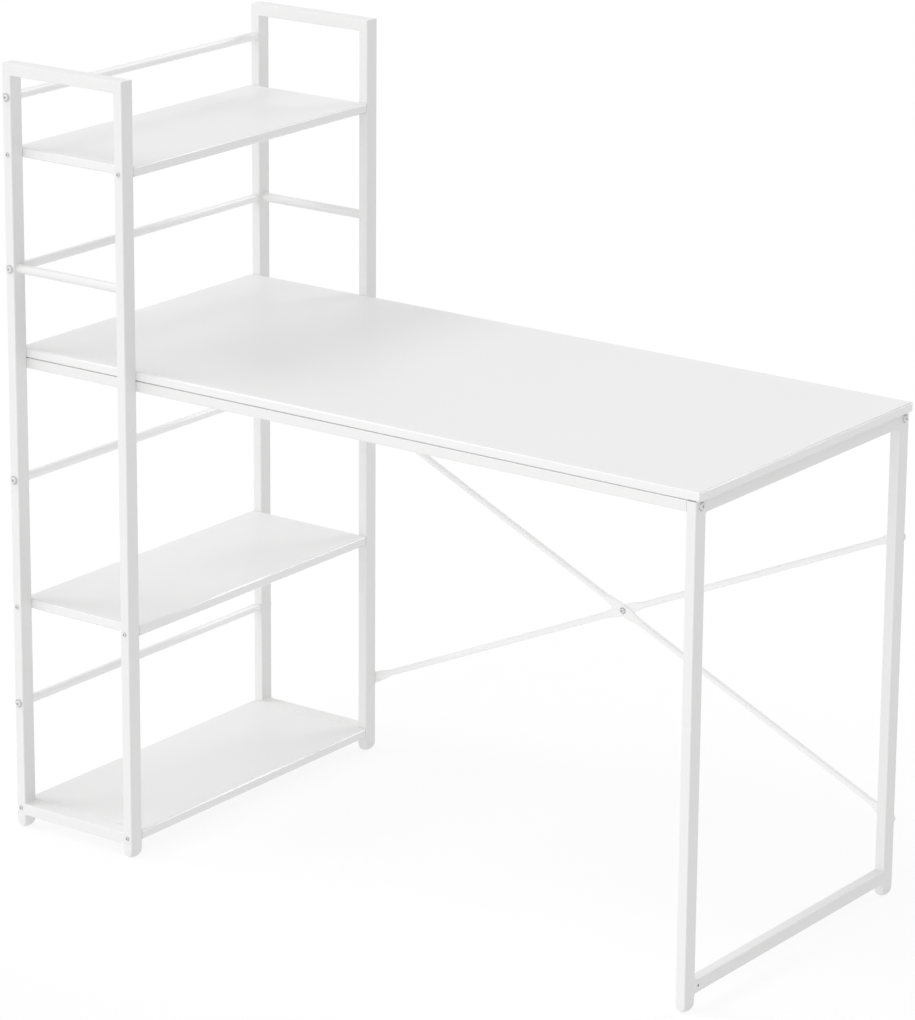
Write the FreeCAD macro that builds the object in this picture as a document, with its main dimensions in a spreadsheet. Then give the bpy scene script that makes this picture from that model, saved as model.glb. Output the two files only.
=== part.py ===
import FreeCAD, Part
import os
import Sketcher
from enum import IntEnum
from types import SimpleNamespace
from FreeCAD import Placement, Rotation, Vector

# A desk with a shelf rack at its left end: welded steel tube frames, melamine boards and a back brace.
# Workshop frame: x from the rack's left face, y from the front frame's front face, z from the floor.
# place() moves every piece from there to the model's frame, whose origin is under the middle of the box.

DRIVING_SIZES = (
    ("desk_length", 1220, "board, left end to right end"),
    ("frame_depth", 610, "rack, front face to back face"),
    ("rack_height", 1200, "floor to the top of the rack"),
    ("rack_width", 230, "rack, left face to right face"),
    ("desk_height", 762, "floor to the top of the board"),
    ("board_thickness", 15, "desk top"),
    ("board_overhang", 6, "board past the leg frame's outer face"),
    ("board_edge_round", 0.8, "rounding of every board edge"),
    ("shelf_thickness", 15, "rack shelves"),
    ("top_shelf_drop", 130, "top shelf's surface below the top of the rack"),
    ("middle_shelf_height", 366, "floor to the middle shelf's surface"),
    ("tube_width", 16, "posts and legs, along the desk"),
    ("tube_depth", 25, "posts, bars, rails and legs, front to back"),
    ("tube_wall", 1.2, "all rectangular tubes"),
    ("tube_corner", 1.6, "corner radius of the rectangular tubes"),
    ("bar_height", 18, "rack's top and bottom bars"),
    ("bottom_bar_rise", 9, "bottom bars above the posts' lower ends"),
    ("rail_height", 16, "rails under the board"),
    ("leg_rail_height", 20, "leg frame's top and bottom rails"),
    ("leg_rail_rise", 10, "leg frame's bottom rail above the legs' lower ends"),
    ("vent_hole_diameter", 4, "vent in the leg frame's bottom rail"),
    ("vent_hole_inset", 9, "vent's distance from the front leg"),
    ("rod_diameter", 14, "side rods and left rails"),
    ("rod_wall", 1, "side rods and left rails"),
    ("side_rod_rise", 126, "side rods' centre lines above the desk top"),
    ("top_rail_drop", 51, "top left rail's centre line below the top of the rack"),
    ("upper_rail_rise", 126, "upper left rail's centre line above the desk top"),
    ("middle_rail_rise", 194, "middle left rail's centre line above the middle shelf"),
    ("lower_rail_rise", 163, "lower left rail's centre line above the bottom shelf"),
    ("brace_diameter", 10, "brace rods"),
    ("brace_flat_width", 17, "pressed flats of the brace rods"),
    ("brace_flat_thickness", 3, "pressed flats of the brace rods"),
    ("brace_plate_length", 17, "end flat, from its hole to its neck"),
    ("brace_centre_half", 14, "half the length of the centre flat"),
    ("brace_neck_length", 24, "from a flat to the full round rod"),
    ("brace_low_height", 118, "floor to the brace's lower bolts"),
    ("brace_high_height", 556, "floor to the brace's upper bolts"),
    ("bolt_diameter", 6, "frame and brace bolts"),
    ("bolt_head_height", 3.6, "button heads"),
    ("frame_head_diameter", 14, "button heads on posts and legs"),
    ("brace_head_diameter", 11, "button heads on the brace and inside the rails"),
    ("bolt_socket_width", 4, "hexagon socket, across its flats"),
    ("bolt_grip", 14, "thread of a bolt in its plug"),
    ("bolt_end", 1, "bolt's end past its nut"),
    ("nut_wall", 2, "hexagon nut, from its bolt to its flats"),
    ("nut_height", 5, "hexagon nut"),
    ("plug_length", 18, "threaded plugs in the tube ends"),
    ("rivet_nut_wall", 1.5, "rivet nuts, wall of the barrel"),
    ("rivet_nut_length", 12, "rivet nuts, barrel"),
    ("rivet_collar", 1.5, "rivet nuts, collar past the barrel"),
    ("rivet_collar_length", 3, "rivet nuts, collar behind the tube wall"),
    ("screw_diameter", 4, "board and shelf screws"),
    ("screw_head_diameter", 7.6, "board and shelf screws"),
    ("screw_head_height", 2.4, "board and shelf screws"),
    ("screw_socket_width", 2.5, "hexagon socket, across its flats"),
    ("shelf_screw_bite", 22, "screw in a shelf's end"),
    ("board_screw_cover", 5, "board left above a screw's tip"),
    ("hole_clearance", 0.2, "room round a bolt, screw or rivet nut in its hole"),
    ("plug_clearance", 0.1, "room round a plug, cap or foot stem in its tube"),
    ("cap_thickness", 2, "end caps of the rails under the board"),
    ("cap_stem_length", 8, "end caps, part pushed into the rail"),
    ("foot_height", 13, "feet, below the tube"),
    ("foot_stem_length", 12, "feet, part pushed into the tube"),
    ("foot_inset", 0.3, "feet and caps, inside the tube's outline"),
    ("foot_dome", 6.6, "rounding of the feet at the floor"),
    ("head_round_share", 0.85, "rounding of a button head, of its height"),
    ("socket_depth_share", 0.6, "socket's depth, of the head's height"),
)
RAIL_SCREW_SHARES = (0.24, 0.48, 0.72, 0.96)
LEG_SCREW_SHARES = (0.2, 0.8)

doc = FreeCAD.newDocument("DeskWithShelves")
sheet = doc.addObject("Spreadsheet::Sheet", "Sizes")
for row, (alias, number, note) in enumerate(DRIVING_SIZES, start=1):
    sheet.set(f"A{row}", note)
    sheet.set(f"B{row}", str(number))
    sheet.setAlias(f"B{row}", alias)
doc.recompute()

# size.desk_length and its like are the expressions that read the sheet.
size = SimpleNamespace(**{alias: f"Sizes.{alias}" for alias, number, note in DRIVING_SIZES})

# Places along the desk, as expressions in the workshop frame.
left_post_x = f"({size.tube_width} / 2)"
right_post_x = f"({size.rack_width} - {size.tube_width} / 2)"
post_xs = (left_post_x, right_post_x)
leg_face_x = f"({size.desk_length} - {size.board_overhang})"
leg_x = f"({leg_face_x} - {size.tube_width} / 2)"
leg_inner_x = f"({leg_face_x} - {size.tube_width})"
rail_length = f"({leg_inner_x} - {size.cap_thickness})"

# Places from front to back. Legs and desk rails stand behind the front posts, a tube depth further in.
front_y = f"({size.tube_depth} / 2)"
back_y = f"({size.frame_depth} - {size.tube_depth} / 2)"
inner_front_y = size.tube_depth
inner_back_y = f"({size.frame_depth} - {size.tube_depth})"
inner_depth = f"({size.frame_depth} - 2 * {size.tube_depth})"
front_leg_y = f"(3 / 2 * {size.tube_depth})"
back_leg_y = f"({size.frame_depth} - {front_leg_y})"
leg_ys = (front_leg_y, back_leg_y)
front_leg_inner_y = f"(2 * {size.tube_depth})"
back_leg_inner_y = f"({size.frame_depth} - {front_leg_inner_y})"
leg_gap = f"({size.frame_depth} - 2 * {front_leg_inner_y})"

# Heights above the floor.
board_bottom_z = f"({size.desk_height} - {size.board_thickness})"
rail_z = f"({board_bottom_z} - {size.rail_height} / 2)"
post_length = f"({size.rack_height} - {size.foot_height})"
leg_length = f"({board_bottom_z} - {size.foot_height})"
bottom_bar_z = f"({size.foot_height} + {size.bottom_bar_rise} + {size.bar_height} / 2)"
leg_rail_z = f"({size.foot_height} + {size.leg_rail_rise} + {size.leg_rail_height} / 2)"
bottom_shelf_top = f"({bottom_bar_z} + {size.bar_height} / 2)"
shelf_tops = {
    "top_shelf": f"({size.rack_height} - {size.top_shelf_drop})",
    "middle_shelf": size.middle_shelf_height,
    "bottom_shelf": bottom_shelf_top,
}
shelf_screw_zs = [f"({top} - {size.shelf_thickness} / 2)" for top in shelf_tops.values()]
left_rail_zs = {
    "left_rail_top": f"({size.rack_height} - {size.top_rail_drop})",
    "left_rail_upper": f"({size.desk_height} + {size.upper_rail_rise})",
    "left_rail_middle": f"({size.middle_shelf_height} + {size.middle_rail_rise})",
    "left_rail_lower": f"({bottom_shelf_top} + {size.lower_rail_rise})",
}
brace_zs = (size.brace_low_height, size.brace_high_height)

# The brace's rods run from the back post's rear face to the back leg's, which lies a tube depth nearer.
brace_run = f"({leg_x} - {right_post_x})"
brace_rise = f"({size.brace_high_height} - {size.brace_low_height})"
brace_span = f"sqrt({brace_run}^2 + {brace_rise}^2)"
brace_lean = size.tube_depth
brace_axis_y = f"({size.frame_depth} + {size.brace_diameter} / 2)"
round_start = f"({size.brace_plate_length} + {size.brace_neck_length})"
brace_middle_y = f"({brace_axis_y} - {brace_lean} / 2)"

# The model's origin, in the workshop frame: under the middle of the box round all pieces.
# At the back that box ends at the brace rods, where they are first fully round.
box_back_y = f"({size.frame_depth} + {size.brace_diameter} - {brace_lean} * {round_start} / {brace_span})"
origin_x = f"{size.desk_length} / 2"
origin_y = f"({box_back_y} - {size.bolt_head_height}) / 2"

# Holes, and the room in a desk rail, which several pieces share.
bolt_hole = f"({size.bolt_diameter} + 2 * {size.hole_clearance})"
screw_hole = f"({size.screw_diameter} + 2 * {size.hole_clearance})"
rivet_nut_diameter = f"({size.bolt_diameter} + 2 * {size.rivet_nut_wall})"
rivet_nut_hole = f"({rivet_nut_diameter} + 2 * {size.hole_clearance})"
tube_room = f"(2 * {size.tube_wall} + 2 * {size.plug_clearance})"
rail_plug_height = f"({size.rail_height} - {tube_room})"
tube_plug_depth = f"({size.tube_depth} - {tube_room})"

# Turns that point a piece's own z axis along the desk, to the back, to the front or down.
UPRIGHT = Rotation()
ALONG = Rotation(Vector(0, 1, 0), 90)
BACKWARD = Rotation(Vector(1, 0, 0), -90)
FORWARD = Rotation(Vector(1, 0, 0), 90)
DOWN = Rotation(Vector(1, 0, 0), 180)

# A sketch numbers the points of an edge from one, and its own axes downwards. Its origin starts the x axis.
START, END, CENTRE = IntEnum("EdgePoint", "START END CENTRE")
X_AXIS = -1
Y_AXIS = X_AXIS - 1
ORIGIN = (X_AXIS, START)
UNIT_SQUARE = ((0, 0), (1, 0), (1, 1), (0, 1))
pieces = []


def place(item, x, y, z, turn=UPRIGHT):
    """Puts an item at a point of the workshop frame, turned about it."""
    item.Placement = Placement(Vector(), turn)
    item.setExpression("Placement.Base.x", f"{x} - {origin_x}")
    item.setExpression("Placement.Base.y", f"{y} - {origin_y}")
    item.setExpression("Placement.Base.z", z)


def new_sketch(body, name, plane="XY_Plane", out=None, up=None, turn=UPRIGHT):
    """Sketch on an origin plane of its body, moved out along the plane's normal and up along its own y."""
    sketch = body.newObject("Sketcher::SketchObject", f"{body.Name}_{name}")
    support = next(feature for feature in body.Origin.OriginFeatures if feature.Role == plane)
    sketch.AttachmentSupport = [(support, "")]
    sketch.MapMode = "FlatFace"
    sketch.AttachmentOffset = Placement(Vector(), turn)
    if out:
        sketch.setExpression("AttachmentOffset.Base.z", out)
    if up:
        sketch.setExpression("AttachmentOffset.Base.y", up)
    return sketch


def tie(sketch, *constraint):
    """Adds a constraint that has no size."""
    sketch.addConstraint(Sketcher.Constraint(*constraint))


def bind(sketch, expression, *constraint):
    """Adds a constraint whose size, drawn as a unit, follows an expression."""
    number = sketch.addConstraint(Sketcher.Constraint(*constraint, 1))
    sketch.renameConstraint(number, f"size_{number}")
    sketch.setExpression(f"Constraints.size_{number}", expression)


def add_polygon(sketch, corners):
    """Closed outline of straight lines. Returns the numbers of its lines."""
    points = [Vector(x, y, 0) for x, y in corners]
    lines = [sketch.addGeometry(Part.LineSegment(*ends)) for ends in zip(points, points[1:] + points[:1])]
    for line, following in zip(lines, lines[1:] + lines[:1]):
        tie(sketch, "Coincident", line, END, following, START)
    return lines


def add_rectangle(sketch, width, depth, centred=True):
    """Rectangle about the sketch's origin, or with its lower left corner there."""
    lower, right, upper, left = add_polygon(sketch, UNIT_SQUARE)
    for line in (lower, upper):
        tie(sketch, "Horizontal", line)
    for line in (right, left):
        tie(sketch, "Vertical", line)
    if centred:
        tie(sketch, "Symmetric", lower, START, upper, START, *ORIGIN)
    else:
        tie(sketch, "Coincident", lower, START, *ORIGIN)
    bind(sketch, width, "DistanceX", lower, START, lower, END)
    bind(sketch, depth, "DistanceY", right, START, right, END)


def add_circle(sketch, diameter, x=None, y=None):
    """Circle at a point of the sketch. A coordinate that isn't given is zero."""
    centre = Vector(1 if x else 0, 1 if y else 0, 0)
    circle = sketch.addGeometry(Part.Circle(centre, Vector(0, 0, 1), 1))
    bind(sketch, diameter, "Diameter", circle)
    if x:
        bind(sketch, x, "DistanceX", *ORIGIN, circle, CENTRE)
    else:
        tie(sketch, "PointOnObject", circle, CENTRE, Y_AXIS)
    if y:
        bind(sketch, y, "DistanceY", *ORIGIN, circle, CENTRE)
    else:
        tie(sketch, "PointOnObject", circle, CENTRE, X_AXIS)


def add_hexagon(sketch, across_flats):
    """Hexagon about the sketch's origin, its corners on a construction circle."""
    spokes = [Rotation(Vector(0, 0, 1), 60 * number).multVec(Vector(1, 0, 0)) for number in range(6)]
    lines = add_polygon(sketch, [(spoke.x, spoke.y) for spoke in spokes])
    guide = sketch.addGeometry(Part.Circle(Vector(), Vector(0, 0, 1), 1), True)
    tie(sketch, "Coincident", guide, CENTRE, *ORIGIN)
    bind(sketch, f"{across_flats} / cos(30 deg)", "Diameter", guide)
    tie(sketch, "PointOnObject", lines[0], START, X_AXIS)
    for line in lines:
        tie(sketch, "PointOnObject", line, START, guide)
    for line in lines[1:]:
        tie(sketch, "Equal", lines[0], line)


def pad(body, name, sketch, length, back=False):
    """Pad along the sketch's normal, or back from it."""
    feature = body.newObject("PartDesign::Pad", f"{body.Name}_{name}")
    feature.Profile = sketch
    feature.Reversed = back
    feature.setExpression("Length", length)
    doc.recompute()
    return feature


def cut(body, name, sketch, length=None, forward=False, both=False):
    """Pocket against the sketch's normal, forward along it or both ways. Without a length it goes through."""
    volume = body.Shape.Volume
    feature = body.newObject("PartDesign::Pocket", f"{body.Name}_{name}")
    feature.Profile = sketch
    feature.Reversed = forward
    if length:
        feature.setExpression("Length", length)
    else:
        feature.Type = "ThroughAll"
    if both:
        feature.SideType = "Two sides"
        feature.Type2 = "ThroughAll"
    doc.recompute()
    if body.Shape.Volume >= volume:
        raise RuntimeError(f"{feature.Name} takes nothing away")


def round_edges(body, name, feature, radius, wanted):
    """Fillet of those edges of a feature for which wanted(edge) is true."""
    edges = enumerate(feature.Shape.Edges, start=1)
    fillet = body.newObject("PartDesign::Fillet", f"{body.Name}_{name}")
    fillet.Base = (feature, [f"Edge{number}" for number, edge in edges if wanted(edge)])
    fillet.setExpression("Radius", radius)
    doc.recompute()
    return fillet


def is_upright(edge):
    """True for an edge along the piece's own z axis."""
    return edge.BoundBox.ZLength > max(edge.BoundBox.XLength, edge.BoundBox.YLength)


def above_foot(height):
    """Distance of a height from the lower end of a post or leg."""
    return f"({height} - {size.foot_height})"


def new_piece(name):
    """Body that is a node of its own."""
    body = doc.addObject("PartDesign::Body", name)
    pieces.append(body)
    return body


def new_pattern(name):
    """Body that is only copied into a group."""
    return doc.addObject("PartDesign::Body", f"{name}_pattern")


def group(name, copies):
    """Node of separate copies. Each copy is given as its pattern, x, y, z and turn."""
    links = []
    for number, (pattern, x, y, z, turn) in enumerate(copies, start=1):
        link = doc.addObject("App::Link", f"{name}_{number}")
        link.LinkedObject = pattern
        place(link, x, y, z, turn)
        links.append(link)
    together = doc.addObject("Part::Compound", name)
    together.Links = links
    pieces.append(together)


def tube(name, width, depth, length):
    """Rectangular tube along its own z axis, its section about that axis."""
    body = new_piece(name)
    outside = new_sketch(body, "outside")
    add_rectangle(outside, width, depth)
    bar = pad(body, "bar", outside, length)
    round_edges(body, "corners", bar, size.tube_corner, is_upright)
    inside = new_sketch(body, "inside")
    add_rectangle(inside, f"{width} - 2 * {size.tube_wall}", f"{depth} - 2 * {size.tube_wall}")
    cut(body, "bore", inside, forward=True)
    return body


def drill(body, name, distances, diameter, plane="XZ_Plane", forward=False, both=True):
    """Holes on a tube's centre line, at distances along it, through both walls or through one."""
    holes = new_sketch(body, name, plane)
    for distance in distances:
        add_circle(holes, diameter, y=distance)
    cut(body, f"{name}_cut", holes, forward=forward, both=both)


def mitre(body, name, corners):
    """Takes a triangle off a tube's end. Its corners are in the tube's own x and z."""
    triangle = new_sketch(body, name, "XZ_Plane")
    lines = add_polygon(triangle, UNIT_SQUARE[:len(corners)])
    for line, (x, z) in zip(lines, corners):
        bind(triangle, x, "DistanceX", *ORIGIN, line, START)
        bind(triangle, z, "DistanceY", *ORIGIN, line, START)
    cut(body, f"{name}_cut", triangle, both=True)


def round_tube(name, length):
    """Round tube along its own z axis."""
    body = new_piece(name)
    section = new_sketch(body, "section")
    add_circle(section, size.rod_diameter)
    add_circle(section, f"{size.rod_diameter} - 2 * {size.rod_wall}")
    pad(body, "wall", section, length)
    return body


def board(name, length, thickness):
    """Board between the two frames, its lower front left corner at its own origin."""
    body = new_piece(name)
    outline = new_sketch(body, "outline")
    add_rectangle(outline, length, inner_depth, centred=False)
    slab = pad(body, "slab", outline, thickness)
    round_edges(body, "edges", slab, size.board_edge_round, lambda edge: True)
    return body


def button_head(body, diameter, length, head_diameter, head_height, socket_width):
    """Button-head fastener with its seat at its own origin, its head along +z and its shank along -z."""
    head_outline = new_sketch(body, "head_outline")
    add_circle(head_outline, head_diameter)
    head = pad(body, "head", head_outline, head_height)
    middle = head.Shape.BoundBox.Center.z
    dome = f"{head_height} * {size.head_round_share}"
    round_edges(body, "dome", head, dome, lambda edge: edge.BoundBox.ZMin > middle)
    shank_outline = new_sketch(body, "shank_outline")
    add_circle(shank_outline, diameter)
    pad(body, "shank", shank_outline, length, back=True)
    socket = new_sketch(body, "socket", out=head_height)
    add_hexagon(socket, socket_width)
    cut(body, "socket_cut", socket, f"{head_height} * {size.socket_depth_share}")
    return body


def bolt(body, length, head_diameter):
    """Frame or brace bolt."""
    sizes = (size.bolt_diameter, length, head_diameter, size.bolt_head_height, size.bolt_socket_width)
    return button_head(body, *sizes)


def screw(body, length):
    """Board or shelf screw."""
    sizes = (size.screw_head_diameter, size.screw_head_height, size.screw_socket_width)
    return button_head(body, size.screw_diameter, length, *sizes)


# Rack frames: two posts mitred to a top bar, a bottom bar and a side rod between the posts.
# Posts are drilled for the shelf screws and left rail bolts, and for the rivet nuts of rails and brace.
half_width = f"({size.tube_width} / 2)"
half_bar = f"({size.bar_height} / 2)"
between_posts = f"({size.rack_width} - 2 * {size.tube_width})"
post_sides = (("left", left_post_x, "-", ""), ("right", right_post_x, "", "-"))
for frame, post_y in (("front", front_y), ("back", back_y)):
    for side, post_x, outward, inward in post_sides:
        post = tube(f"rack_{frame}_{side}_post", size.tube_width, size.tube_depth, post_length)
        outer_corner = (f"{outward}{half_width}", post_length)
        inner_corner = (f"{inward}{half_width}", post_length)
        bar_corner = (f"{inward}{half_width}", f"{post_length} - {size.bar_height}")
        mitre(post, "mitre", (outer_corner, bar_corner, inner_corner))
        drill(post, "screw_holes", map(above_foot, shelf_screw_zs), screw_hole)
        on_front = frame == "back"
        drill(post, "rail_nut_hole", [above_foot(rail_z)], rivet_nut_hole, forward=on_front, both=False)
        if side == "left":
            drill(post, "bolt_holes", map(above_foot, left_rail_zs.values()), bolt_hole)
        elif frame == "back":
            drill(post, "brace_nut_holes", map(above_foot, brace_zs), rivet_nut_hole, both=False)
        place(post, post_x, post_y, size.foot_height)

    # The top bar's own x axis points down once it lies along the desk.
    top_bar = tube(f"rack_{frame}_top_bar", size.bar_height, size.tube_depth, size.rack_width)
    right_inner = f"{size.rack_width} - {size.tube_width}"
    left_end = ((f"-{half_bar}", "0"), (half_bar, "0"), (half_bar, size.tube_width))
    right_end = ((f"-{half_bar}", size.rack_width), (half_bar, right_inner), (half_bar, size.rack_width))
    mitre(top_bar, "left_mitre", left_end)
    mitre(top_bar, "right_mitre", right_end)
    place(top_bar, "0", post_y, f"{size.rack_height} - {half_bar}", ALONG)

    bottom_bar = tube(f"rack_{frame}_bottom_bar", size.bar_height, size.tube_depth, between_posts)
    place(bottom_bar, size.tube_width, post_y, bottom_bar_z, ALONG)
    side_rod = round_tube(f"rack_{frame}_side_rod", between_posts)
    place(side_rod, size.tube_width, post_y, f"{size.desk_height} + {size.side_rod_rise}", ALONG)

# Left rails: round tubes from the front to the back post, with a threaded plug in each end and a bolt in it.
for name, height in left_rail_zs.items():
    place(round_tube(name, inner_depth), left_post_x, inner_front_y, height, BACKWARD)

rail_plug = new_pattern("left_rail_plug")
rail_plug_section = new_sketch(rail_plug, "section")
add_circle(rail_plug_section, f"{size.rod_diameter} - 2 * {size.rod_wall} - 2 * {size.plug_clearance}")
add_circle(rail_plug_section, bolt_hole)
pad(rail_plug, "wall", rail_plug_section, size.plug_length, back=True)
rail_plug_ends = ((inner_front_y, FORWARD), (inner_back_y, BACKWARD))
plug_places = [(left_post_x, y, z, turn) for y, turn in rail_plug_ends for z in left_rail_zs.values()]
group("left_rail_plugs", [(rail_plug, *spot) for spot in plug_places])

outer_faces = (("0", FORWARD), (size.frame_depth, BACKWARD))
rail_bolt_length = f"{size.tube_depth} + {size.bolt_grip}"
rail_bolt = bolt(new_pattern("left_rail_bolt"), rail_bolt_length, size.frame_head_diameter)
bolt_places = [(left_post_x, y, z, turn) for y, turn in outer_faces for z in left_rail_zs.values()]
group("left_rail_bolts", [(rail_bolt, *spot) for spot in bolt_places])

# Shelves: boards with a pilot hole in each end behind every post, and the screws through the posts.
for name, top in shelf_tops.items():
    shelf = board(name, size.rack_width, size.shelf_thickness)
    for end, out in (("front", None), ("back", f"-{inner_depth}")):
        pilots = new_sketch(shelf, f"{end}_pilots", "XZ_Plane", out)
        for post_x in post_xs:
            add_circle(pilots, screw_hole, post_x, f"{size.shelf_thickness} / 2")
        cut(shelf, f"{end}_pilot_cut", pilots, size.shelf_screw_bite, forward=end == "back")
    place(shelf, "0", inner_front_y, f"{top} - {size.shelf_thickness}")

shelf_screw = screw(new_pattern("shelf_screw"), f"{size.tube_depth} + {size.shelf_screw_bite}")
screw_places = [(x, y, z, turn) for y, turn in outer_faces for z in shelf_screw_zs for x in post_xs]
group("shelf_screws", [(shelf_screw, *spot) for spot in screw_places])

# Leg frame: two legs, a rail between them under the board and one near the floor with a vent hole.
for end, leg_y in zip(("front", "back"), leg_ys):
    leg = tube(f"leg_{end}", size.tube_width, size.tube_depth, leg_length)
    drill(leg, "bolt_hole", [above_foot(rail_z)], bolt_hole, "YZ_Plane")
    if end == "back":
        drill(leg, "brace_nut_holes", map(above_foot, brace_zs), rivet_nut_hole, both=False)
    place(leg, leg_x, leg_y, size.foot_height)

leg_screw_spots = [f"({leg_gap} * {share})" for share in LEG_SCREW_SHARES]
leg_top_rail = tube("leg_top_rail", size.tube_width, size.leg_rail_height, leg_gap)
drill(leg_top_rail, "screw_holes", leg_screw_spots, screw_hole)
leg_top_rail_z = f"{board_bottom_z} - {size.leg_rail_height} / 2"
place(leg_top_rail, leg_x, front_leg_inner_y, leg_top_rail_z, BACKWARD)

leg_bottom_rail = tube("leg_bottom_rail", size.tube_width, size.leg_rail_height, leg_gap)
vent_spot = [size.vent_hole_inset]
drill(leg_bottom_rail, "vent_hole", vent_spot, size.vent_hole_diameter, "YZ_Plane", forward=True, both=False)
place(leg_bottom_rail, leg_x, front_leg_inner_y, leg_rail_z, BACKWARD)

# Desk rails: tubes under the board's long edges, from the rack's left face to the legs.
rail_screw_spots = [f"({rail_length} * {share})" for share in RAIL_SCREW_SHARES]
rail_post_spots = [f"({post_x} - {size.cap_thickness})" for post_x in post_xs]
for end, leg_y in zip(("front", "back"), leg_ys):
    rail = tube(f"desk_{end}_rail", size.rail_height, size.tube_depth, rail_length)
    drill(rail, "post_bolt_holes", rail_post_spots, bolt_hole)
    drill(rail, "screw_holes", rail_screw_spots, screw_hole, "YZ_Plane")
    place(rail, size.cap_thickness, leg_y, rail_z, ALONG)

    # End cap: a plate with a forked stem, which leaves room for the bolt to the left post.
    cap = new_piece(f"desk_{end}_rail_end_cap")
    cap_face = new_sketch(cap, "face")
    inset = f"2 * {size.foot_inset}"
    add_rectangle(cap_face, f"{size.rail_height} - {inset}", f"{size.tube_depth} - {inset}")
    cap_plate = pad(cap, "plate", cap_face, size.cap_thickness)
    round_edges(cap, "corners", cap_plate, size.tube_corner, is_upright)
    stem = new_sketch(cap, "stem", out=size.cap_thickness)
    add_rectangle(stem, rail_plug_height, tube_plug_depth)
    pad(cap, "stem_block", stem, size.cap_stem_length)
    slot = new_sketch(cap, "slot", "XZ_Plane", up=f"{size.cap_thickness} + {size.cap_stem_length}")
    add_rectangle(slot, bolt_hole, f"2 * {size.cap_stem_length}")
    cut(cap, "fork", slot, both=True)
    place(cap, "0", leg_y, rail_z, ALONG)

# Desk rail fixings: plugs and bolts at the legs, rivet nuts and bolts at the rack posts.
desk_rail_plug = new_pattern("desk_rail_plug")
desk_rail_plug_section = new_sketch(desk_rail_plug, "section")
add_rectangle(desk_rail_plug_section, rail_plug_height, tube_plug_depth)
add_circle(desk_rail_plug_section, bolt_hole)
pad(desk_rail_plug, "block", desk_rail_plug_section, size.plug_length, back=True)
group("desk_rail_plugs", [(desk_rail_plug, leg_inner_x, y, rail_z, ALONG) for y in leg_ys])
leg_bolt = bolt(new_pattern("leg_bolt"), f"{size.tube_width} + {size.bolt_grip}", size.frame_head_diameter)
group("leg_bolts", [(leg_bolt, leg_face_x, y, rail_z, ALONG) for y in leg_ys])

# A rivet nut's barrel is flush with the tube's face, and its collar is pressed out behind the wall.
rivet_nut = new_pattern("rivet_nut")
barrel = new_sketch(rivet_nut, "barrel_section")
add_circle(barrel, rivet_nut_diameter)
add_circle(barrel, bolt_hole)
pad(rivet_nut, "barrel", barrel, size.rivet_nut_length, back=True)
collar = new_sketch(rivet_nut, "collar_section", out=f"-{size.tube_wall}")
add_circle(collar, f"{rivet_nut_diameter} + 2 * {size.rivet_collar}")
add_circle(collar, bolt_hole)
pad(rivet_nut, "collar", collar, size.rivet_collar_length, back=True)
inner_faces = ((inner_front_y, BACKWARD), (inner_back_y, FORWARD))
group("desk_rail_rivet_nuts", [(rivet_nut, x, y, rail_z, turn) for y, turn in inner_faces for x in post_xs])

post_bolt_length = f"{size.tube_depth} + {size.rivet_nut_length}"
post_bolt = bolt(new_pattern("desk_rail_bolt"), post_bolt_length, size.brace_head_diameter)
rail_faces = ((front_leg_inner_y, BACKWARD), (back_leg_inner_y, FORWARD))
group("desk_rail_bolts", [(post_bolt, x, y, rail_z, turn) for y, turn in rail_faces for x in post_xs])

# Desk top: one board through the rack and over the leg frame, screwed on from below.
rail_screw_points = [(f"({size.cap_thickness} + {spot})", y) for spot in rail_screw_spots for y in leg_ys]
leg_screw_points = [(leg_x, f"({front_leg_inner_y} + {spot})") for spot in leg_screw_spots]
board_screw_bite = f"({size.board_thickness} - {size.board_screw_cover})"
desk_top = board("desk_top", size.desk_length, size.board_thickness)
pilots = new_sketch(desk_top, "pilots")
for x, y in rail_screw_points + leg_screw_points:
    add_circle(pilots, screw_hole, x, f"{y} - {inner_front_y}")
cut(desk_top, "pilot_cut", pilots, board_screw_bite, forward=True)
place(desk_top, "0", inner_front_y, board_bottom_z)

rail_screw = screw(new_pattern("rail_screw"), f"{size.rail_height} + {board_screw_bite}")
leg_screw = screw(new_pattern("leg_screw"), f"{size.leg_rail_height} + {board_screw_bite}")
rail_seat = f"{board_bottom_z} - {size.rail_height}"
leg_seat = f"{board_bottom_z} - {size.leg_rail_height}"
rail_screws = [(rail_screw, x, y, rail_seat, DOWN) for x, y in rail_screw_points]
leg_screws = [(leg_screw, x, y, leg_seat, DOWN) for x, y in leg_screw_points]
group("desk_top_screws", rail_screws + leg_screws)


def flat_section(body, name, along, across):
    """Section of a brace rod where it is pressed flat."""
    section = new_sketch(body, name, out=along, up=across)
    add_rectangle(section, size.brace_flat_width, size.brace_flat_thickness)
    return section


def round_section(body, name, along):
    """Section of a brace rod where it is round, as four arcs that face the four sides of a flat."""
    section = new_sketch(body, name, out=along, up=f"-{brace_lean} * {along} / {brace_span}")
    unit = Part.Circle(Vector(), Vector(0, 0, 1), 1)
    quarter_turn = Rotation(Vector(0, 0, 1), 90)
    start = Vector(-1, -1, 0)
    for arc in range(4):
        end = quarter_turn.multVec(start)
        section.addGeometry(Part.ArcOfCircle(unit, unit.parameter(start), unit.parameter(end)))
        tie(section, "Coincident", arc, CENTRE, *ORIGIN)
        start = end
    lower, right, upper, left = range(4)
    for arc, following in ((lower, right), (right, upper), (upper, left)):
        tie(section, "Coincident", arc, END, following, START)
    tie(section, "Horizontal", left, END, lower, START)
    tie(section, "Horizontal", lower, START, lower, END)
    tie(section, "Vertical", right, START, right, END)
    tie(section, "Horizontal", upper, START, upper, END)
    bind(section, size.brace_diameter, "Diameter", lower)
    bind(section, f"{size.brace_diameter} / sqrt(2)", "DistanceX", lower, START, lower, END)
    return section


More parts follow.
